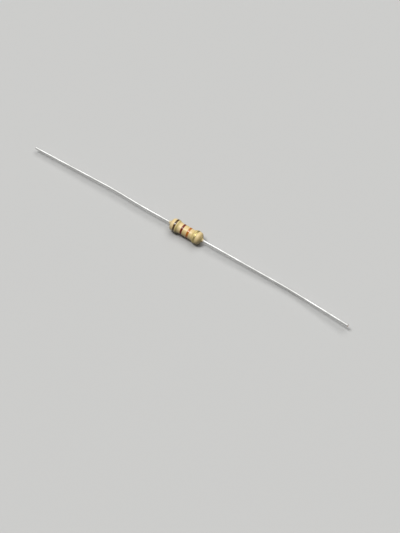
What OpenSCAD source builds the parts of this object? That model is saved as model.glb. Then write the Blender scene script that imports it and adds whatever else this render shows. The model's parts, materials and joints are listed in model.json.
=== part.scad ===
// Quarter-watt axial carbon film resistor with a dipped coat and four colour bands.
// All sizes are in millimetres. The body's axis lies along X, and the +X end carries the
// tolerance band. The origin is on the surface that the resistor lies on, below the middle
// of its body. The body rests on its two outer bands, and the leads hover.

/* [Resistive element] */
// Length of the ceramic rod
rod_length = 5.2; // [4:0.1:7]
// Diameter of the ceramic rod
rod_d = 1.6; // [1.2:0.05:2.4]
// Thickness of the carbon film on the rod
film_t = 0.03; // [0.02:0.005:0.06]
// Turns of the helical cut that trims the film to its value
cut_turns = 5; // [2:1:7]
// Width of the helical cut, measured along the rod
cut_w = 0.16; // [0.08:0.02:0.24]
// Uncut film left between the cut and each end cap
cut_margin = 0.25; // [0.1:0.05:0.4]

/* [End caps] */
// Length of the rod that each cap grips
cap_grip = 0.9; // [0.7:0.05:1.5]
// Wall of the drawn cap
cap_wall = 0.18; // [0.12:0.01:0.25]
// Outside corner radius of the drawn cap
cap_corner = 0.38; // [0.26:0.01:0.45]
// Play between the rod's chamfer and the round corner inside the cap
corner_play = 0.02; // [0.01:0.01:0.05]

/* [Leads] */
// Diameter of the lead wire
lead_d = 0.45; // [0.36:0.01:0.6]
// Reach of each lead along the body's axis, from the end of the body
lead_length = 28; // [20:1:34]
// Height and width of the flare that the weld leaves at the foot of each lead
weld_flare = 0.12; // [0.06:0.01:0.2]
// Length of every bend in the leads
bend_length = 4; // [1:0.5:5]

/* [Left lead] */
// Straight wire between the body and the first bend
left_run_1 = 4.5; // [1:0.5:6]
// Angle of the first bend
left_bend_1 = 2.1; // [0:0.1:5]
// Direction of the first bend round the wire: 0 is down and 90 is to the back
left_turn_1 = 95; // [-180:5:180]
// Distance from the start of the first bend to the start of the second
left_run_2 = 5; // [4:0.5:8]
// Angle of the second bend
left_bend_2 = 3.1; // [0:0.1:5]
// Direction of the second bend round the wire
left_turn_2 = -70; // [-180:5:180]

/* [Right lead] */
// Straight wire between the body and the first bend
right_run_1 = 2; // [1:0.5:6]
// Angle of the first bend
right_bend_1 = 2.1; // [0:0.1:5]
// Direction of the first bend round the wire: 0 is down and 90 is to the back
right_turn_1 = 25; // [-180:5:180]
// Distance from the start of the first bend to the start of the second
right_run_2 = 13; // [6:0.5:14]
// Angle of the second bend
right_bend_2 = 7.4; // [0:0.1:8]
// Direction of the second bend round the wire
right_turn_2 = -135; // [-180:5:180]

/* [Coat] */
// Thickness of the coat over the film, at the waist
coat_on_film = 0.11; // [0.08:0.01:0.3]
// Thickness of the coat over the caps, at the crown of each bulge
coat_on_caps = 0.12; // [0.08:0.01:0.3]
// Radius of the bow along the crown of each bulge
crown_bow = 3; // [2:0.5:12]
// Radius of the shoulder that wraps the open edge of each cap
shoulder_r = 0.35; // [0.3:0.01:0.5]
// Radius of the hollow between the waist and each shoulder
neck_r = 0.5; // [0.2:0.05:0.8]
// Slope of the coat's cone ends, from the axis
end_slope = 60; // [50:1:75]
// Radius of the hollow where each cone end meets its lead
meniscus_r = 0.25; // [0.1:0.05:0.4]
// Thickness of the coat that runs out along each lead
collar_t = 0.03; // [0.02:0.005:0.08]
// Length of the coat that runs out along each lead, past the hollow
collar_length = 0.14; // [0.1:0.02:0.5]

/* [Colour bands] */
// Width of each band
band_w = 0.38; // [0.2:0.02:0.5]
// Thickness of the paint
paint_t = 0.02; // [0.01:0.005:0.04]
// How far each outer band sits inwards from the top of its bulge
band_inset = 0.05; // [0:0.01:0.12]
// Bare coat between the two inner bands
inner_gap = 0.8; // [0.3:0.02:1]

/* [Hidden] */
$fn = 72;
// Largest turn between two points of an arc in an outline
arc_step = 9;
// Steps of the trimming cutter in each turn of the helical cut, and facets across its walls
steps_per_turn = 24;
wall_facets = 12;
// Sides of the bent stretch of a lead, and its rings over the length of each bend
wire_sides = 20;
bend_rings = 6;
// The bent stretch is this much slimmer than the straight ends, and runs into them this far
wire_slack = 0.004;
wire_lap = 0.3;

// Radii of the pieces, from the core outwards
rod_r = rod_d / 2;
film_r = rod_r + film_t;
cap_r = film_r + cap_wall;
lead_r = lead_d / 2;
flare_r = lead_r + weld_flare;
waist_r = film_r + coat_on_film;
crown_r = cap_r + coat_on_caps;
collar_r = lead_r + collar_t;

// Places along the axis, from the middle of the body outwards
rod_end = rod_length / 2;
cap_edge = rod_end - cap_grip;
cap_face = rod_end + cap_wall;
inside_corner = cap_corner - cap_wall;
rod_chamfer = inside_corner + corner_play;
flare_x = cap_face + weld_flare;
cut_end = cap_edge - cut_margin;

// Height of the body's axis, with the outer bands touching the surface below
axis_z = crown_r + paint_t;

// Centres of arcs are [along the axis, out from the axis], and angles run from the axis
cap_round = [cap_face - cap_corner, cap_r - cap_corner];

// The crown of each bulge is a shallow bow. The shoulder arc at the open edge of the cap and
// the end arc round its corner both touch the bow from inside.
end_r = cap_corner + coat_on_caps;
bow = [(cap_edge + cap_round.x) / 2, crown_r - crown_bow];
function under_bow(x, r) = [x, bow.y + sqrt(pow(crown_bow - r, 2) - pow(x - bow.x, 2))];
shoulder = under_bow(cap_edge, shoulder_r);
end_round = under_bow(cap_round.x, end_r);

// The neck arc touches the straight waist and the shoulder arc
neck_y = waist_r + neck_r;
neck = [shoulder.x - sqrt(pow(shoulder_r + neck_r, 2) - pow(neck_y - shoulder.y, 2)), neck_y];

// The cone end leaves the end arc and meets the meniscus arc, which touches the collar
cone_out = [sin(end_slope), cos(end_slope)];
cone_dir = [cos(end_slope), -sin(end_slope)];
meniscus_y = collar_r + meniscus_r;
cone_length = (end_round.y - meniscus_y + (end_r + meniscus_r) * cone_out.y) / -cone_dir.y;
meniscus = end_round + (end_r + meniscus_r) * cone_out + cone_length * cone_dir;
collar_x = meniscus.x + collar_length;

// The body ends where its cone would meet the bare lead
cone_start = end_round + end_r * cone_out;
body_end = cone_start.x + (cone_start.y - lead_r) * cone_dir.x / -cone_dir.y;

// Places of the bands along the axis
outer_band_x = bow.x - band_inset;
inner_band_x = (inner_gap + band_w) / 2;

// Angle of the line from one point to another
function heading(from, to) = atan2(to.y - from.y, to.x - from.x);

// Points of an arc
function arc(centre, r, from, to) =
  let (n = ceil(abs(to - from) / arc_step))
  [for (i = [0 : n]) let (a = from + (to - from) * i / n) centre + r * [cos(a), sin(a)]];

function reversed(points) = [for (i = [len(points) - 1 : -1 : 0]) points[i]];

// A curve from the middle of the body outwards, carried on to the other side
function both_sides(curve) = concat([for (p = reversed(curve)) [-p.x, p.y]], curve);

// Turns a half outline, drawn as [along the axis, out from the axis], about the body's axis
module turned() {
  translate([0, 0, axis_z]) rotate([0, 90, 0]) rotate_extrude() mirror([1, -1]) children();
}

// The core

module ceramic_rod() {
  color("gainsboro") turned() polygon(both_sides([
    [rod_end - rod_chamfer, rod_r], [rod_end, rod_r - rod_chamfer], [rod_end, 0]
  ]));
}

// A sector that turns as it runs along the rod, to cut the helix
module trimming_cutter() {
  steps = steps_per_turn * cut_turns;
  sector = 360 * cut_turns * cut_w / (2 * cut_end);
  reach = 2 * film_r;
  translate([-cut_end, 0, axis_z]) rotate([0, 90, 0])
    linear_extrude(2 * cut_end, twist = -360 * cut_turns, slices = steps, $fn = wall_facets)
      polygon(concat(
        [[0, 0]], [for (a = [-0.5 : 0.5 : 0.5]) reach * [cos(a * sector), sin(a * sector)]]
      ));
}

module carbon_film() {
  film_end = rod_end - rod_chamfer;
  color("dimgray") difference() {
    turned() translate([-film_end, rod_r]) square([2 * film_end, film_t]);
    trimming_cutter();
  }
}

// Outside of the cap's closed end, from its crown in to radius r
function cap_end(r) = concat(arc(cap_round, cap_corner, 90, 0), [[cap_face, r]]);

// A drawn cup with round corners, bored to the film
module cap() {
  inside_round = [rod_end - inside_corner, film_r - inside_corner];
  color("silver") turned() polygon(concat(
    [[cap_edge, film_r], [cap_edge, cap_r]], cap_end(0),
    [[rod_end, 0]], arc(inside_round, inside_corner, 0, 90)
  ));
}

module end_cap_left() mirror([1, 0, 0]) cap();

module end_cap_right() cap();

// The leads

// The concave flare of the weld, from the face of the cap out to the bare wire
flare_curve = arc([flare_x, flare_r], weld_flare, 180, 270);

// A bend is [start, angle, direction]. The wire is straight before it, bows over the length of
// the bend and is straight after it. Offsets are [up, back], at a distance from the body.
function bow_of(t) = t < 0 ? 0 : t < bend_length ? t * t / (2 * bend_length) : t - bend_length / 2;
function slope_of(bend) = tan(bend[1]) * [-cos(bend[2]), sin(bend[2])];
function offset_at(bends, s) = [for (b = bends) bow_of(s - b[0])] * [for (b = bends) slope_of(b)];
function place_at(bends, s) = let (o = offset_at(bends, s)) [body_end + s, o.y, axis_z + o.x];

// A tube through both bends, as rings across the body's axis
module bent_stretch(bends, from, to) {
  stations = concat(
    [from], [for (b = bends, i = [0 : bend_rings]) b[0] + bend_length * i / bend_rings], [to]
  );
  first = [for (j = [0 : wire_sides - 1]) j];
  points = [
    for (s = stations, j = first)
      let (a = 360 * j / wire_sides)
      place_at(bends, s) + (lead_r - wire_slack) * [0, cos(a), sin(a)]
  ];
  walls = [
    for (i = [0 : len(stations) - 2], j = first)
      let (k = i * wire_sides, next = (j + 1) % wire_sides)
      [k + j, k + wire_sides + j, k + wire_sides + next, k + next]
  ];
  last = [for (j = reversed(first)) (len(stations) - 1) * wire_sides + j];
  polyhedron(points, concat([first], walls, [last]));
}

// The lead at +X. Its foot and its tail are true cylinders.
module lead(bends) {
  first_bend = bends[0][0];
  tail_start = bends[1][0] + bend_length;
  tail = place_at(bends, lead_length) - place_at(bends, tail_start);
  color("lightgray") {
    turned() polygon(concat(
      [[cap_face, 0]], flare_curve, [[body_end + first_bend, lead_r], [body_end + first_bend, 0]]
    ));
    bent_stretch(bends, first_bend - wire_lap, tail_start + wire_lap);
    translate(place_at(bends, tail_start))
      rotate([0, acos(tail.z / norm(tail)), atan2(tail.y, tail.x)])
        cylinder(h = norm(tail), r = lead_r);
  }
}

module lead_left() mirror([1, 0, 0]) lead([
  [left_run_1, left_bend_1, left_turn_1],
  [left_run_1 + left_run_2, left_bend_2, left_turn_2]
]);

module lead_right() lead([
  [right_run_1, right_bend_1, right_turn_1],
  [right_run_1 + right_run_2, right_bend_2, right_turn_2]
]);

// The coat

// Outside of the coat from the middle of the body to the collar, standing off by g
function coat_curve(g = 0) =
  let (
    to_shoulder = heading(neck, shoulder),
    bow_in = heading(bow, shoulder),
    bow_out = heading(bow, end_round)
  )
  concat(
    arc(neck, neck_r - g, -90, to_shoulder),
    arc(shoulder, shoulder_r + g, to_shoulder + 180, bow_in),
    arc(bow, crown_bow + g, bow_in, bow_out),
    arc(end_round, end_r + g, bow_out, 90 - end_slope),
    arc(meniscus, meniscus_r - g, 270 - end_slope, 270)
  );

// What the coat lies on, from the middle of the body to the collar
covered_curve = concat(
  [[cap_edge, film_r], [cap_edge, cap_r]], cap_end(flare_r), flare_curve, [[collar_x, lead_r]]
);

module coating() {
  collar_round = arc([collar_x - collar_t, lead_r], collar_t, 90, 0);
  outside = concat(coat_curve(), collar_round);
  color("wheat") turned()
    polygon(concat(both_sides(outside), reversed(both_sides(covered_curve))));
}

// A ring of paint on the coat, centred at x along the axis
module band(x) {
  turned() intersection() {
    polygon(concat(both_sides(coat_curve(paint_t)), reversed(both_sides(coat_curve()))));
    translate([x - band_w / 2, 0]) square([band_w, 2 * crown_r]);
  }
}

module brown_band() color("saddlebrown") band(-outer_band_x);

module red_band() color("firebrick") band(-inner_band_x);

module orange_band() color("darkorange") band(inner_band_x);

module gold_band() color("darkgoldenrod") band(outer_band_x);

ceramic_rod();
carbon_film();
end_cap_left();
end_cap_right();
lead_left();
lead_right();
coating();
brown_band();
red_band();
orange_band();
gold_band();
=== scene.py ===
"""Looks of a quarter-watt axial resistor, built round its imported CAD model.

The coat, the four rings of paint and the two wire leads are fine surfaces that stand for their
CAD nodes. The core inside the coat keeps its CAD meshes and gets its finishes. In the named
values, sizes are millimetres and angles are degrees. The meshes are metres.
"""

import json
from math import radians

import bpy
import numpy as np
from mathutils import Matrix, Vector


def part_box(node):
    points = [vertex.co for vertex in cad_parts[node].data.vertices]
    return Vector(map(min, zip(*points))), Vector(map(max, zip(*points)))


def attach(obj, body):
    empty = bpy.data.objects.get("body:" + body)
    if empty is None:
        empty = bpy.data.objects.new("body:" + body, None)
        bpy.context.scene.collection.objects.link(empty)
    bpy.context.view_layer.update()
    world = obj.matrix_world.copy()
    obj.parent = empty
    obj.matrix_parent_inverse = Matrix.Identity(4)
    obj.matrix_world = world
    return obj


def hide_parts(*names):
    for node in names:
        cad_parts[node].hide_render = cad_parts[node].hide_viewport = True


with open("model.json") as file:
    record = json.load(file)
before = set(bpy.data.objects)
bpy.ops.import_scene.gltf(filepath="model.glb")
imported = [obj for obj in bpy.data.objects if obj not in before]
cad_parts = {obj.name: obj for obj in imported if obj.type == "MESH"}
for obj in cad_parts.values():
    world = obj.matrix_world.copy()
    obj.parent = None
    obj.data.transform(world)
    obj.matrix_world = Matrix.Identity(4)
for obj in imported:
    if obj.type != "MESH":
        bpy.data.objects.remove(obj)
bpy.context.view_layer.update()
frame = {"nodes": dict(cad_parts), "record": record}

MM = 0.001

# The view: its direction, how far off it is, and how far the point at its middle lies to the
# right of the body's middle and below it. Then the lens, and the nearest that it shows
AZIMUTH = 33.6
ELEVATION = 59.0
DISTANCE = 215.0
AIM_RIGHT = 2.235
AIM_DOWN = 5.795
LENS = 88.0
NEAREST_SEEN = 10.0

# The lamps: the way to each from the object, how many degrees wide it is, and its strength.
# Then the strength of the light from all round, and how far the floor goes each way
SMALL_LAMP = ((-0.33, -0.13, 0.93), 18, 1.8)
BROAD_LAMP = ((0.0, 0.42, 0.90), 50, 1.55)
DOME_LIGHT = 0.12
FLOOR_REACH = 20000.0

# The coat's outline, as arcs and slopes
CROWN_BOW = 3.0
SHOULDER_R = 0.35
NECK_R = 0.5
END_SLOPE = 60.0
MENISCUS_R = 0.25
COLLAR_T = 0.03
COLLAR_LENGTH = 0.14
CAP_CORNER = 0.38
WELD_FLARE = 0.12

# The coat's unevenness: the depth of its slow waves, and for each wave its turning along the
# axis in radians a millimetre, its start there and its start round the body. Then the place,
# length, depth and direction of a dip where it ran thin on its back, and how far its ends
# wander along the wire
COAT_WAVES = 0.006
SLOW_WAVES = [(1.9, 0.6, 0.4), (3.1, -1.1, 2.0), (4.7, 2.3, -0.9)]
DIP_X = 0.95
DIP_LENGTH = 0.45
DIP_DEPTH = 0.05
DIP_TURN = 130
END_WANDER = 0.09

# The leads: their reach from the end of the body, the length that each bend takes, and each
# bend's start from the end of the body, its angle and its direction round the wire
LEAD_LENGTH = 28.0
BEND_LENGTH = 4.0
LEFT_BENDS = [(4.5, 2.1, 95), (9.5, 3.1, -70)]
RIGHT_BENDS = [(2.0, 2.1, 25), (15.0, 7.4, -135)]

# The cut end of a lead: how far the cutter's two faces slope back, how far before them the
# last plain section is, the rings of the faces as shares of the wire's radius, how much the
# cutter pinches the wire, and over what length
CUT_SLOPE = 0.07
CUT_GAP = 0.02
CUT_RINGS = np.array([1, 0.97, 0.9, 0.8, 0.6, 0.3, 0.1])
PINCH = 0.12
PINCH_LENGTH = 0.35

# How far an edge of paint wanders along the body, and how deep the paint's foot sits
EDGE_WANDER = 0.012
PAINT_FOOT = 0.004

# Fineness of the meshes
ARC_STEP = 2.0
COAT_STEP = 0.035
COAT_SIDES = 120
PAINT_ROWS = 25
WIRE_STEP = 0.25
WIRE_SIDES = 40

# Colours, linear
BEIGE = (0.75, 0.565, 0.255)
BEIGE_PALE = (0.87, 0.69, 0.38)
BEIGE_THIN = (0.68, 0.60, 0.44)
# The lacquer where it lies thick, darkened further as painted shade in the necks and at the ends
BEIGE_DEEP_AND_SHADE = (0.52, 0.43, 0.15)
BEIGE_SPECK = (0.36, 0.24, 0.08)
BROWN = (0.082, 0.040, 0.003)
RED = (0.18, 0.008, 0.001)
ORANGE = (0.48, 0.135, 0.006)
GOLD = (0.44, 0.36, 0.155)
TIN = (0.69, 0.69, 0.68)
TIN_DULL = (0.54, 0.54, 0.53)
COPPER = (0.70, 0.36, 0.20)
STEEL = (0.42, 0.41, 0.39)
STEATITE = (0.80, 0.78, 0.73)
STEATITE_DULL = (0.72, 0.70, 0.65)
STEATITE_SPECK = (0.45, 0.41, 0.35)
CARBON = (0.035, 0.034, 0.033)
CARBON_PALE = (0.085, 0.082, 0.078)

# The floor as it is seen, the floor as it throws light up, and the backdrop past its edge
FLOOR = (0.54, 0.54, 0.53)
FLOOR_BOUNCE = (0.08, 0.08, 0.08)
SURROUND = (0.45, 0.45, 0.44)

# The glossy paints: each one's colour, how far it has worn, and how strongly it reflects
GLOSSY_PAINTS = [
    ("brown", BROWN, 0.06, 0.42),
    ("red", RED, 0.06, 0.28),
    ("orange", ORANGE, 0.15, 0.38),
]


# Sizes read from the frame, in millimetres


def box_mm(node):
    """Lowest and highest corner of a CAD node."""
    low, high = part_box(node)
    return np.array(low) / MM, np.array(high) / MM


def outer_radius(node):
    """Radius of a CAD node that is round about the body's axis."""
    low, high = box_mm(node)
    return (high[2] - low[2]) / 2


coat_low, coat_high = box_mm("coating")
AXIS_Z = (coat_low[2] + coat_high[2]) / 2
COLLAR_X = coat_high[0]
CROWN_R = outer_radius("coating")
PAINT_T = outer_radius("gold_band") - CROWN_R
WAIST_R = outer_radius("red_band") - PAINT_T
FILM_R = outer_radius("carbon_film")
CAP_R = outer_radius("end_cap_right")
CAP_EDGE = box_mm("end_cap_right")[0][0]
CAP_FACE = box_mm("end_cap_right")[1][0]
LEAD_R = frame["record"]["mounts"][0]["dims"]["r_mm"]


# The coat's outline, as [along the axis, out from the axis]


def under_bow(x, r):
    """Centre of an arc that touches the bow of the crown from inside."""
    return np.array([x, BOW[1] + np.sqrt((CROWN_BOW - r) ** 2 - (x - BOW[0]) ** 2)])


def arc(centre, radius, start, end):
    """Points of a circle's arc between two angles in degrees, at even steps."""
    steps = 2 + int(abs(end - start) / ARC_STEP)
    a = np.radians(np.linspace(start, end, steps))
    return np.asarray(centre) + radius * np.column_stack([np.cos(a), np.sin(a)])


def heading(start, end):
    """Angle in degrees of the line from one point to another."""
    return np.degrees(np.arctan2(end[1] - start[1], end[0] - start[0]))


CORNER_X = CAP_FACE - CAP_CORNER
BOW = np.array([(CAP_EDGE + CORNER_X) / 2, CROWN_R - CROWN_BOW])
END_R = CAP_CORNER + CROWN_R - CAP_R
END = under_bow(CORNER_X, END_R)
CONE_OUT = np.array([np.sin(radians(END_SLOPE)), np.cos(radians(END_SLOPE))])
CONE_DOWN = np.array([CONE_OUT[1], -CONE_OUT[0]])


def down_cone(point, height):
    """Where a line along the cone, from this point, comes down to a height."""
    return point + CONE_DOWN * (point[1] - height) / -CONE_DOWN[1]


BODY_END = down_cone(END + END_R * CONE_OUT, LEAD_R)[0]


def half_outline():
    """The coat's outside, from the middle of the body to the end of its collar.

    A straight waist turns up through the neck arc into the shoulder arc, over the shallow bow of
    the crown, down the end arc, along a straight cone, and through the meniscus arc to a collar
    that thins out along the wire. Each arc starts with the slope that the one before ends with.
    """
    shoulder = under_bow(CAP_EDGE, SHOULDER_R)
    neck_y = WAIST_R + NECK_R
    reach = np.sqrt((SHOULDER_R + NECK_R) ** 2 - (neck_y - shoulder[1]) ** 2)
    neck = np.array([shoulder[0] - reach, neck_y])
    turn = heading(neck, shoulder)
    hollow = down_cone(END + (END_R + MENISCUS_R) * CONE_OUT, LEAD_R + COLLAR_T + MENISCUS_R)
    return np.concatenate([
        arc(neck, NECK_R, -90, turn),
        arc(shoulder, SHOULDER_R, turn + 180, heading(BOW, shoulder)),
        arc(BOW, CROWN_BOW, heading(BOW, shoulder), heading(BOW, END)),
        arc(END, END_R, heading(BOW, END), 90 - END_SLOPE),
        arc(hollow, MENISCUS_R, 270 - END_SLOPE, 270),
        [[COLLAR_X - COLLAR_T / 2, LEAD_R + COLLAR_T / 3], [COLLAR_X, LEAD_R]],
    ])


def both_sides(curve):
    """A curve from the middle of the body outwards, carried on to the other side."""
    return np.concatenate([curve[::-1] * [-1, 1], curve])


def even_steps(points, step):
    """The same curve with points at even distances along it."""
    along = np.concatenate([[0], np.cumsum(np.linalg.norm(np.diff(points, axis=0), axis=1))])
    places = np.linspace(0, along[-1], 1 + int(np.ceil(along[-1] / step)))
    return np.column_stack([np.interp(places, along, c) for c in points.T])


def foot_flare():
    """The weld's concave flare, from the face of the cap out to the bare wire."""
    return arc([CAP_FACE + WELD_FLARE, LEAD_R + WELD_FLARE], WELD_FLARE, 180, 270)


OUTSIDE = even_steps(both_sides(half_outline()), COAT_STEP)
COVERED = both_sides(np.concatenate([
    [[CAP_EDGE, FILM_R], [CAP_EDGE, CAP_R]],
    arc([CORNER_X, CAP_R - CAP_CORNER], CAP_CORNER, 90, 0),
    foot_flare(),
    [[COLLAR_X, LEAD_R]],
]))


def coat_radius(x, angle):
    """The coat's outer radius at a place along the axis and an angle round it.

    It is the outline's radius less a few slow waves, each a sine along the axis times a cosine
    round it, the first once round, the next twice and the last three times. They fade out
    towards the wire. A smooth dip comes off too: a bell along the axis times a squared cosine.
    """
    r = np.interp(x, OUTSIDE[:, 0], OUTSIDE[:, 1])
    waves = sum(
        np.sin(rate * x + start) * np.cos(times * angle + turn)
        for times, (rate, start, turn) in enumerate(SLOW_WAVES, 1)
    )
    most = len(SLOW_WAVES)
    fade = np.clip((r - 2 * LEAD_R) / LEAD_R, 0, 1)
    dip = np.exp(-((x - DIP_X) / DIP_LENGTH) ** 2)
    dip = DIP_DEPTH * dip * np.clip(np.cos(angle - radians(DIP_TURN)), 0, 1) ** 2
    return r - dip - COAT_WAVES * (most - waves) / most * fade


# Meshes


def link(name, data):
    """A new object in the scene."""
    made = bpy.data.objects.new(name, data)
    bpy.context.scene.collection.objects.link(made)
    return made


def skin(name, rings, across, looped=False, marks=None):
    """A piece whose mesh runs through closed rings of points, given as [ring, point, xyz].

    Neighbouring rings are joined by quads: i counts rings, j counts the points round one, and
    i2 and j2 are the next ones. A looped skin joins its last ring to its first, and any other
    is closed at each end by a fan to the middle of its end ring. The UV map holds each ring's
    value of across, and the share of the way round it. Marks maps the name of an attribute to
    its value on each ring. The middle of the first ring has its ring's value, and the middle
    of the last has 0.
    """
    n, m = rings.shape[:2]
    spans = n if looped else n - 1
    grid = np.meshgrid(np.arange(spans), np.arange(m), indexing="ij")
    i, j = (index.ravel() for index in grid)
    i2, j2 = (i + 1) % n, (j + 1) % m
    faces = [np.column_stack([i * m + j, i2 * m + j, i2 * m + j2, i * m + j2])]
    share = np.column_stack([j, j, j + 1, j + 1]) / m
    uv = [np.stack([across[np.column_stack([i, i2, i2, i])], share], -1).reshape(-1, 2)]
    points = rings.reshape(-1, 3)
    marks = {key: np.repeat(value, m) for key, value in (marks or {}).items()}
    if not looped:
        points = np.concatenate([points, rings[[0, -1]].mean(axis=1)])
        marks = {key: np.append(value, [value[0], 0]) for key, value in marks.items()}
        k = np.arange(m)
        k2 = (k + 1) % m
        last = (n - 1) * m
        faces.append(np.column_stack([np.full(m, n * m), k, k2]))
        faces.append(np.column_stack([np.full(m, n * m + 1), last + k2, last + k]))
        uv += [np.tile([[across[0], 0.5]], (3 * m, 1)), np.tile([[across[-1], 0.5]], (3 * m, 1))]
    sizes = np.concatenate([np.full(len(f), f.shape[1]) for f in faces])
    corners = np.concatenate([f.ravel() for f in faces])
    mesh = bpy.data.meshes.new(name)
    mesh.vertices.add(len(points))
    mesh.vertices.foreach_set("co", (points * MM).ravel())
    mesh.loops.add(len(corners))
    mesh.loops.foreach_set("vertex_index", corners)
    mesh.polygons.add(len(sizes))
    mesh.polygons.foreach_set("loop_start", np.cumsum(sizes) - sizes)
    mesh.polygons.foreach_set("loop_total", sizes)
    mesh.uv_layers.new(name="across_around").data.foreach_set("uv", np.concatenate(uv).ravel())
    for key, value in marks.items():
        mesh.attributes.new(key, "FLOAT", "POINT").data.foreach_set("value", value)
    mesh.update()
    mesh.shade_smooth()
    return link(name, mesh)


def even_angles(sides):
    """Angles at even steps once round, in radians."""
    return np.linspace(0, 2 * np.pi, sides, endpoint=False)


def round_axis(x, r, angle):
    """Points at a place along the body's axis, a radius, and an angle from straight down."""
    y, z = r * np.sin(angle), AXIS_Z - r * np.cos(angle)
    return np.stack(np.broadcast_arrays(x, y, z), -1)


def coat_thickness():
    """How thick the coat lies at each point of its outline.

    It is measured straight down to what the coat covers and, past where the cap's corner
    starts, to the nearest point of it.
    """
    x, r = OUTSIDE.T
    covered = even_steps(COVERED, COAT_STEP)
    nearest = np.linalg.norm(OUTSIDE[:, None] - covered, axis=2).min(axis=1)
    return np.where(np.abs(x) > CORNER_X, nearest, r - np.interp(x, *COVERED.T))


def coat():
    """The dipped coat: its outline and the line of what it covers, turned about the axis.

    On the wire, a wave round it draws the coat back towards the body, so that its edge wanders.
    The wave is a sine that goes once round, plus half of one that goes twice, less the most
    that they reach, so it is 0 at its highest and -3 at its lowest.
    """
    angle = even_angles(COAT_SIDES)
    x = np.concatenate([OUTSIDE[:, 0], COVERED[::-1, 0]])[:, None]
    inner_r = np.broadcast_to(COVERED[::-1, 1:], (len(COVERED), COAT_SIDES))
    r = np.concatenate([coat_radius(OUTSIDE[:, :1], angle), inner_r])
    thick = np.concatenate([coat_thickness(), np.zeros(len(COVERED))])
    near_edge = np.clip((np.abs(x) - COLLAR_X + COLLAR_LENGTH) / COLLAR_LENGTH, 0, 1)
    wave = np.sin(angle + np.sign(x)) + 0.5 * np.sin(2 * angle + 2.2 * np.sign(x)) - 1.5
    shift = END_WANDER / 3 * near_edge * wave * np.sign(x)
    across = np.linspace(0, 1, len(x))
    return skin("coat", round_axis(x + shift, r, angle), across, True, {"thickness": thick})


def paint_ring(name, node, seed):
    """A ring of paint: the coat's surface lifted by the paint, which thins out at its edges.

    The lift is 1 less the eighth power of the place across the ring, which is 0 in its middle
    and 1 at an edge. Each edge wanders along the axis by three waves, which go once, twice and
    three times round the body, and the quicker is the shallower.
    """
    low, high = box_mm(node)
    angle = even_angles(COAT_SIDES)
    u = np.sin(np.linspace(-np.pi / 2, np.pi / 2, PAINT_ROWS))[:, None]
    phase = np.random.default_rng(seed).uniform(0, 2 * np.pi, (2, 3, 1))
    count = np.arange(1, 4)[:, None]
    left, right = (np.sin(count * angle + phase) / count).sum(axis=1)
    wander = EDGE_WANDER * np.abs(u) * np.where(u < 0, left, right)
    x = (low[0] + high[0]) / 2 + (high[0] - low[0]) / 2 * u + wander
    base = coat_radius(x, angle) - PAINT_FOOT
    lift = (PAINT_T + PAINT_FOOT) * (1 - u ** 8)
    outer = round_axis(x, base + lift, angle)
    inner = round_axis(x, base, angle)[-2:0:-1]
    across = u[:, 0] / 2 + 0.5
    across = np.concatenate([across, across[-2:0:-1]])
    return skin(name, np.concatenate([outer, inner]), across, True)


def bow_of(s):
    """How far a bend has carried the wire sideways: a parabola over the bend, then a line."""
    return np.clip(s, 0, BEND_LENGTH) ** 2 / (2 * BEND_LENGTH) + np.maximum(s - BEND_LENGTH, 0)


def wire_centres(x, bends, side):
    """Centres of a lead's sections at distances x from the middle of the body.

    Each bend carries the wire sideways by its bow times the tangent of the bend's angle.
    """
    sideways = sum(
        np.outer(bow_of(x - BODY_END - start), np.tan(radians(angle)) * np.array(
            [np.sin(radians(turn)), -np.cos(radians(turn))]
        ))
        for start, angle, turn in bends
    )
    return np.column_stack([side * x, sideways + [0, AXIS_Z]])


def wire_lead(name, bends, side):
    """A lead: a circle swept along its bent route, flared at its foot and cut at its tip.

    The tip is pinched towards the cut, and its face falls away to both sides of a ridge.
    """
    tip = BODY_END + LEAD_LENGTH
    foot = foot_flare()
    steps = 1 + int((tip - CUT_SLOPE - foot[-1, 0]) / WIRE_STEP)
    run = np.linspace(foot[-1, 0], tip - CUT_SLOPE - CUT_GAP, steps)[1:]
    x = np.concatenate([foot[:, 0], run, np.full(len(CUT_RINGS), tip - CUT_SLOPE)])
    r = np.concatenate([foot[:, 1], np.full(len(run), LEAD_R), LEAD_R * CUT_RINGS])
    core = np.concatenate([np.ones(len(foot) + len(run)), CUT_RINGS])
    centres = wire_centres(x, bends, side)
    ahead = wire_centres(x + WIRE_STEP, bends, side) - wire_centres(x - WIRE_STEP, bends, side)
    ahead /= np.linalg.norm(ahead, axis=1)[:, None]
    back = np.cross([0, 0, 1.0], ahead)
    back /= np.linalg.norm(back, axis=1)[:, None]
    up = np.cross(ahead, back)
    angle = even_angles(WIRE_SIDES)
    near_tip = np.clip((x - tip + PINCH_LENGTH) / PINCH_LENGTH, 0, 1)[:, None] ** 2
    wide = r[:, None] * np.sin(angle) * (1 - PINCH * near_tip)
    tall = -r[:, None] * np.cos(angle)
    ridge = np.where(core < 1, CUT_SLOPE, 0)[:, None] * (1 - np.abs(wide) / LEAD_R)
    parts = ((wide, back), (tall, up), (ridge, ahead))
    rings = centres[:, None] + sum(amount[..., None] * way[:, None] for amount, way in parts)
    return skin(name, rings, np.linspace(0, 1, len(x)), marks={"from_core": core})


# Building finishes


def add(tree, kind, feeds=None, **settings):
    """Adds a node. Feeds maps an input's name or number to a value or another node's output."""
    made = tree.nodes.new("ShaderNode" + kind)
    for key, value in settings.items():
        setattr(made, key, value)
    for key, value in (feeds or {}).items():
        if isinstance(value, bpy.types.NodeSocket):
            tree.links.new(value, made.inputs[key])
        else:
            made.inputs[key].default_value = value
    return made


def sums(tree, operation, *values):
    """The output of a Math node."""
    return add(tree, "Math", dict(enumerate(values)), operation=operation).outputs[0]


def remap(tree, value, low, high, to_low=0.0, to_high=1.0):
    """A value moved smoothly from one range to another, and held within it."""
    feeds = {0: value, 1: low, 2: high, 3: to_low, 4: to_high}
    return add(tree, "MapRange", feeds, interpolation_type="SMOOTHSTEP").outputs[0]


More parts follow.
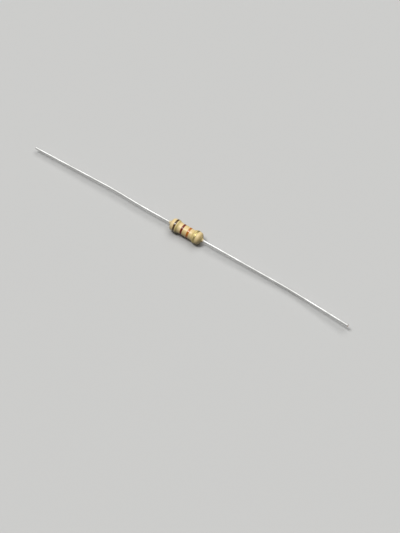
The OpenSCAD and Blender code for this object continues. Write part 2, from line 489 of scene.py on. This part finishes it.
def between(tree, share, at_0, at_1):
    """A value that goes smoothly from one number to another as a share goes from 0 to 1."""
    return remap(tree, share, 0.0, 1.0, at_0, at_1)


def blend(tree, share, first, second):
    """A mix of two colours."""
    feeds = {0: share, 6: first, 7: second}
    return add(tree, "Mix", feeds, data_type="RGBA").outputs[2]


def solid(colour):
    """A colour as a socket takes it."""
    return (*colour, 1.0)


def effect(name, inputs, outputs):
    """An empty node group with these inputs, as name: default, and these outputs."""
    tree = bpy.data.node_groups.new(name, "ShaderNodeTree")
    for label, value in inputs.items():
        kind = "NodeSocketColor" if isinstance(value, tuple) else "NodeSocketFloat"
        socket = tree.interface.new_socket(label, in_out="INPUT", socket_type=kind)
        socket.default_value = value
    for label, kind in outputs.items():
        tree.interface.new_socket(label, in_out="OUTPUT", socket_type="NodeSocket" + kind)
    return tree, tree.nodes.new("NodeGroupInput").outputs


def give(tree, **values):
    """Feeds the group's outputs, where a name's underscores stand for spaces."""
    end = tree.nodes.new("NodeGroupOutput")
    for label, value in values.items():
        tree.links.new(value, end.inputs[label.replace("_", " ")])
    return tree


def use(tree, group, **values):
    """Places an effect in a material with its own values, and returns its outputs."""
    made = tree.nodes.new("ShaderNodeGroup")
    made.node_tree = group
    for label, value in values.items():
        socket = made.inputs[label.replace("_", " ")]
        if isinstance(value, bpy.types.NodeSocket):
            tree.links.new(value, socket)
        else:
            socket.default_value = solid(value) if isinstance(value, tuple) else value
    return made.outputs


def place_of(tree):
    """Object coordinates in millimetres."""
    where = add(tree, "TexCoord").outputs["Object"]
    return add(tree, "VectorMath", {0: where, "Scale": 1 / MM}, operation="SCALE").outputs[0]


def noise(tree, place, scale, detail=2.0, roughness=0.5):
    """Smooth random clouds, about 0.5 on average."""
    feeds = {"Vector": place, "Scale": scale, "Detail": detail, "Roughness": roughness}
    return add(tree, "TexNoise", feeds).outputs["Fac"]


# Effects that several finishes share


def mottle_effect():
    """Blends two colours in soft clouds."""
    inputs = {"First": solid(BEIGE), "Second": solid(BEIGE), "Scale": 1.0, "Spread": 0.2}
    tree, given = effect("mottle", inputs, {"Colour": "Color", "Share": "Float"})
    cloud = noise(tree, place_of(tree), given["Scale"], 4.0)
    low = sums(tree, "SUBTRACT", 0.5, given["Spread"])
    high = sums(tree, "ADD", 0.5, given["Spread"])
    share = remap(tree, cloud, low, high)
    return give(tree, Colour=blend(tree, share, given["First"], given["Second"]), Share=share)


def ripple_effect():
    """The skin of a dried lacquer: slow swells under a fine orange peel."""
    inputs = {"Swell Scale": 1.3, "Peel Scale": 9.0, "Peel Share": 0.3}
    tree, given = effect("lacquer_ripple", inputs, {"Height": "Float"})
    place = place_of(tree)
    swell = noise(tree, place, given["Swell Scale"], 1.0)
    peel = noise(tree, place, given["Peel Scale"], 2.0)
    height = sums(tree, "MULTIPLY_ADD", peel, given["Peel Share"], swell)
    return give(tree, Height=height)


def specks_effect():
    """A few small round specks, sharp at the middle and soft at the rim."""
    inputs = {"Scale": 5.0, "Size": 0.12, "Amount": 0.3}
    tree, given = effect("specks", inputs, {"Mask": "Float"})
    place = place_of(tree)
    cells = add(tree, "TexVoronoi", {"Vector": place, "Scale": given["Scale"]})
    near = remap(tree, cells.outputs["Distance"], given["Size"], 0.0)
    picked = sums(tree, "LESS_THAN", add(
        tree, "SeparateColor", {0: cells.outputs["Color"]}
    ).outputs[0], given["Amount"])
    return give(tree, Mask=sums(tree, "MULTIPLY", near, picked))


def drawn_effect():
    """Fine lines along the axis, as a drawing die leaves them, with slow changes of shine."""
    inputs = {"Line Scale": 30.0, "Stretch": 0.02, "Bright": solid(TIN), "Dull": solid(TIN_DULL)}
    outputs = {"Colour": "Color", "Shine": "Float", "Height": "Float"}
    tree, given = effect("drawn_lines", inputs, outputs)
    place = place_of(tree)
    squeeze = add(tree, "CombineXYZ", {0: given["Stretch"], 1: 1.0, 2: 1.0}).outputs[0]
    along = add(tree, "VectorMath", {0: place, 1: squeeze}, operation="MULTIPLY").outputs[0]
    lines = noise(tree, along, given["Line Scale"], 3.0, 0.6)
    clouds = noise(tree, place, 0.35, 2.0)
    shine = sums(tree, "MULTIPLY", remap(tree, lines, 0.3, 0.7), remap(tree, clouds, 0.3, 0.6))
    colour = blend(tree, shine, given["Dull"], given["Bright"])
    return give(tree, Colour=colour, Shine=shine, Height=lines)


def printed_effect():
    """Paint laid by a turning wheel: dense in the middle, streaked, and ragged at its edges."""
    inputs = {"Paint": solid(RED), "Under": solid(BEIGE), "Wear": 0.2}
    outputs = {"Colour": "Color", "Cover": "Float"}
    tree, given = effect("printed_ring", inputs, outputs)
    place = place_of(tree)
    across = add(tree, "SeparateXYZ", {0: add(tree, "TexCoord").outputs["UV"]}).outputs[0]
    from_middle = sums(tree, "ABSOLUTE", sums(tree, "MULTIPLY_ADD", across, 2.0, -1.0))
    ragged = sums(tree, "MULTIPLY_ADD", noise(tree, place, 7.0, 3.0), 0.5, from_middle)
    edge = remap(tree, ragged, 1.2, 1.38, 1.0, 0.0)
    thin = remap(tree, noise(tree, place, 3.0, 4.0, 0.65), 0.25, 0.5)
    kept = sums(tree, "SUBTRACT", 1.0, given["Wear"])
    body = sums(tree, "MULTIPLY_ADD", thin, given["Wear"], kept)
    cover = sums(tree, "MULTIPLY", edge, body)
    return give(tree, Colour=blend(tree, cover, given["Under"], given["Paint"]), Cover=cover)


MOTTLE = mottle_effect()
RIPPLE = ripple_effect()
SPECKS = specks_effect()
DRAWN = drawn_effect()
PRINTED = printed_effect()


# Finishes


def finish(name, **values):
    """A new material with these plain values, its node tree and its shader."""
    material = bpy.data.materials.new(name)
    material.use_nodes = True
    tree = material.node_tree
    shader = tree.nodes["Principled BSDF"]
    for label, value in values.items():
        shader.inputs[label.replace("_", " ")].default_value = value
    return material, tree, shader


def feed(tree, shader, **sources):
    """Joins outputs to the shader's inputs, where a name's underscores stand for spaces."""
    for label, source in sources.items():
        tree.links.new(source, shader.inputs[label.replace("_", " ")])


def bump(tree, height, depth):
    """A normal that stands for a height, where a height of 1 is this many millimetres."""
    return add(tree, "Bump", {"Height": height, "Distance": depth * MM}).outputs[0]


def lacquered_coat():
    """Beige dipping lacquer with specks of filler, pale where thin and deeper where it lies
    thick. It is made darker than the thickness alone gives, which paints shade into the necks and
    onto the ends.
    """
    material, tree, shader = finish("beige_lacquer", Specular_IOR_Level=0.3)
    thick = add(tree, "Attribute", attribute_name="thickness").outputs["Fac"]
    clouds = use(tree, MOTTLE, First=BEIGE, Second=BEIGE_PALE, Scale=0.8, Spread=0.22)
    # Deeper where the coat lies thick; this also paints shade into the necks and onto the ends
    deep_and_shade = remap(tree, thick, 0.11, 0.27, 0.0, 0.8)
    colour = blend(tree, deep_and_shade, clouds["Colour"], solid(BEIGE_DEEP_AND_SHADE))
    specks = use(tree, SPECKS, Scale=5.0, Size=0.13, Amount=0.3)
    speck = sums(tree, "MULTIPLY", specks["Mask"], 0.4)
    colour = blend(tree, speck, colour, solid(BEIGE_SPECK))
    colour = blend(tree, remap(tree, thick, 0.02, 0.09), solid(BEIGE_THIN), colour)
    rough = between(tree, clouds["Share"], 0.26, 0.34)
    ripple = use(tree, RIPPLE, Swell_Scale=1.1, Peel_Scale=8.0, Peel_Share=0.18)
    feed(tree, shader, Base_Color=colour, Roughness=rough,
         Normal=bump(tree, ripple["Height"], 0.012))
    return material


def ring_paint(name, colour, wear, gloss):
    """Glossy paint over the lacquer, worn thin in places and ragged at its edges."""
    material, tree, shader = finish(name, Specular_IOR_Level=gloss)
    printed = use(tree, PRINTED, Paint=colour, Under=BEIGE, Wear=wear)
    ripple = use(tree, RIPPLE, Swell_Scale=1.1, Peel_Scale=8.0, Peel_Share=0.18)
    height = sums(tree, "MULTIPLY_ADD", printed["Cover"], 0.15, ripple["Height"])
    rough = between(tree, printed["Cover"], 0.28, 0.15)
    feed(tree, shader, Base_Color=printed["Colour"], Roughness=rough,
         Normal=bump(tree, height, 0.012))
    return material


def gold_paint():
    """Bronze-flake paint: metallic flakes, some painted darker than others as a painted glint, so
    that each seems to catch the light its own way.
    """
    material, tree, shader = finish("gold_paint")
    printed = use(tree, PRINTED, Paint=GOLD, Under=BEIGE, Wear=0.12)
    flakes = use(tree, MOTTLE, First=(0.0, 0.0, 0.0), Second=(1.0, 1.0, 1.0),
                 Scale=60.0, Spread=0.25)
    # Painted glint: each flake gets from three quarters to all of the gold colour, as if lit its
    # own way
    flake_glint = blend(tree, flakes["Share"], solid([c * 0.75 for c in GOLD]), solid(GOLD))
    colour = blend(tree, printed["Cover"], solid(BEIGE), flake_glint)
    rough = between(tree, flakes["Share"], 0.42, 0.52)
    feed(tree, shader, Base_Color=colour, Metallic=printed["Cover"], Roughness=rough,
         Normal=bump(tree, flakes["Share"], 0.0015))
    return material


def tinned_wire():
    """Tin plate with drawn lines. The cut face shows a copper skin round a steel core."""
    material, tree, shader = finish("tinned_wire", Metallic=1.0)
    lines = use(tree, DRAWN, Line_Scale=28.0, Stretch=0.015, Bright=TIN, Dull=TIN_DULL)
    core = add(tree, "Attribute", attribute_name="from_core").outputs["Fac"]
    inside = blend(tree, remap(tree, core, 0.68, 0.74), solid(STEEL), solid(COPPER))
    colour = blend(tree, remap(tree, core, 0.93, 0.97), inside, lines["Colour"])
    rough = between(tree, lines["Shine"], 0.62, 0.5)
    feed(tree, shader, Base_Color=colour, Roughness=rough,
         Normal=bump(tree, lines["Height"], 0.003))
    return material


def drawn_cap():
    """Plated steel cup with the die's lines down its wall."""
    material, tree, shader = finish("drawn_cap_steel", Metallic=1.0)
    lines = use(tree, DRAWN, Line_Scale=16.0, Stretch=0.05, Bright=TIN_DULL, Dull=STEEL)
    rough = between(tree, lines["Shine"], 0.45, 0.28)
    feed(tree, shader, Base_Color=lines["Colour"], Roughness=rough,
         Normal=bump(tree, lines["Height"], 0.004))
    return material


def fired_rod():
    """Matte steatite with a fine grain and a few dark specks."""
    material, tree, shader = finish("steatite", Roughness=0.75)
    clouds = use(tree, MOTTLE, First=STEATITE, Second=STEATITE_DULL,
                 Scale=3.0, Spread=0.2)
    specks = use(tree, SPECKS, Scale=9.0, Size=0.2, Amount=0.2)
    colour = blend(tree, specks["Mask"], clouds["Colour"], solid(STEATITE_SPECK))
    grain = noise(tree, place_of(tree), 25.0, 3.0)
    feed(tree, shader, Base_Color=colour, Normal=bump(tree, grain, 0.008))
    return material


def fired_carbon():
    """A dark, slightly shiny carbon skin in soft clouds."""
    material, tree, shader = finish("carbon_skin")
    clouds = use(tree, MOTTLE, First=CARBON, Second=CARBON_PALE, Scale=2.0, Spread=0.25)
    rough = between(tree, clouds["Share"], 0.5, 0.38)
    ripple = use(tree, RIPPLE, Swell_Scale=4.0, Peel_Scale=30.0, Peel_Share=0.5)
    feed(tree, shader, Base_Color=clouds["Colour"], Roughness=rough,
         Normal=bump(tree, ripple["Height"], 0.004))
    return material


# The pieces


def dress(piece, material, node):
    """Gives a piece its finish, and puts it in its CAD node's place."""
    piece.data.materials.append(material)
    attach(piece, "root")
    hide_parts(node)


def refinish(node, material):
    """Gives a CAD node that keeps its mesh its finish."""
    for held in frame["nodes"][node].material_slots:
        held.material = material


wire = tinned_wire()
cap_steel = drawn_cap()
dress(coat(), lacquered_coat(), "coating")
dress(wire_lead("lead_wire_left", LEFT_BENDS, -1), wire, "lead_left")
dress(wire_lead("lead_wire_right", RIGHT_BENDS, 1), wire, "lead_right")
for seed, (hue, colour, wear, gloss) in enumerate(GLOSSY_PAINTS, 1):
    ring = paint_ring(hue + "_ring", hue + "_band", seed)
    dress(ring, ring_paint(hue + "_paint", colour, wear, gloss), hue + "_band")
dress(paint_ring("gold_ring", "gold_band", 4), gold_paint(), "gold_band")
refinish("ceramic_rod", fired_rod())
refinish("carbon_film", fired_carbon())
refinish("end_cap_left", cap_steel)
refinish("end_cap_right", cap_steel)


# Stage, light and camera


def direction(azimuth, elevation):
    """The way from the body to a viewer: azimuth 0 is at the front, and 90 is at +X."""
    a, e = radians(azimuth), radians(elevation)
    return Vector((np.sin(a) * np.cos(e), -np.cos(a) * np.cos(e), np.sin(e)))


def aim(made, place, away):
    """Puts a lamp or camera at a place in millimetres, with its back turned this way."""
    made.location = place * MM
    made.rotation_mode = "QUATERNION"
    made.rotation_quaternion = away.to_track_quat("Z", "Y")


def seen_directly(tree):
    """1 for the camera, reflections and glass, and 0 for light that matte surfaces exchange."""
    rays = add(tree, "LightPath").outputs
    seen = sums(tree, "MAXIMUM", rays["Is Camera Ray"], rays["Is Glossy Ray"])
    return sums(tree, "MAXIMUM", seen, rays["Is Transmission Ray"])


def floor():
    """A plain pale floor, which throws no more light up on the resistor than a dark one would."""
    mesh = bpy.data.meshes.new("floor")
    far = FLOOR_REACH * MM
    corners = [(-far, -far, 0), (far, -far, 0), (far, far, 0), (-far, far, 0)]
    mesh.from_pydata(corners, [], [(0, 1, 2, 3)])
    material, tree, shader = finish("floor", Roughness=0.9)
    colour = blend(tree, seen_directly(tree), solid(FLOOR_BOUNCE), solid(FLOOR))
    feed(tree, shader, Base_Color=colour)
    mesh.materials.append(material)
    link("floor", mesh)


def far_lamp(name, way, spread, strength):
    """A round lamp far off in this way, so many degrees wide, whose light is even all over.

    Only its direction counts, and not its place.
    """
    data = bpy.data.lights.new(name, "SUN")
    data.angle = radians(spread)
    data.energy = strength
    aim(link(name, data), Vector(way), Vector(way))


def surroundings():
    """An even dome of light, which the camera and shiny surfaces see as a pale backdrop."""
    world = bpy.data.worlds.new("surroundings")
    world.use_nodes = True
    tree = world.node_tree
    light = tree.nodes["Background"]
    light.inputs["Color"].default_value = (1, 1, 1, 1)
    light.inputs["Strength"].default_value = DOME_LIGHT
    shown = add(tree, "Background", {"Color": solid(SURROUND), "Strength": 1.0})
    feeds = {0: seen_directly(tree), 1: light.outputs[0], 2: shown.outputs[0]}
    mixed = add(tree, "MixShader", feeds)
    tree.links.new(mixed.outputs[0], tree.nodes["World Output"].inputs["Surface"])
    bpy.context.scene.world = world


def camera():
    """Looks from its direction at the point that is so far right of the body and below it."""
    data = bpy.data.cameras.new("camera")
    data.lens = LENS
    data.clip_start = NEAREST_SEEN * MM
    made = link("camera", data)
    away = direction(AZIMUTH, ELEVATION)
    across = away.to_track_quat("Z", "Y") @ Vector((AIM_RIGHT, -AIM_DOWN, 0))
    aim(made, Vector((0, 0, AXIS_Z)) + across + away * DISTANCE, away)
    bpy.context.scene.camera = made


floor()
far_lamp("small_lamp", *SMALL_LAMP)
far_lamp("broad_lamp", *BROAD_LAMP)
surroundings()
camera()
bpy.context.scene.view_settings.view_transform = "Standard"
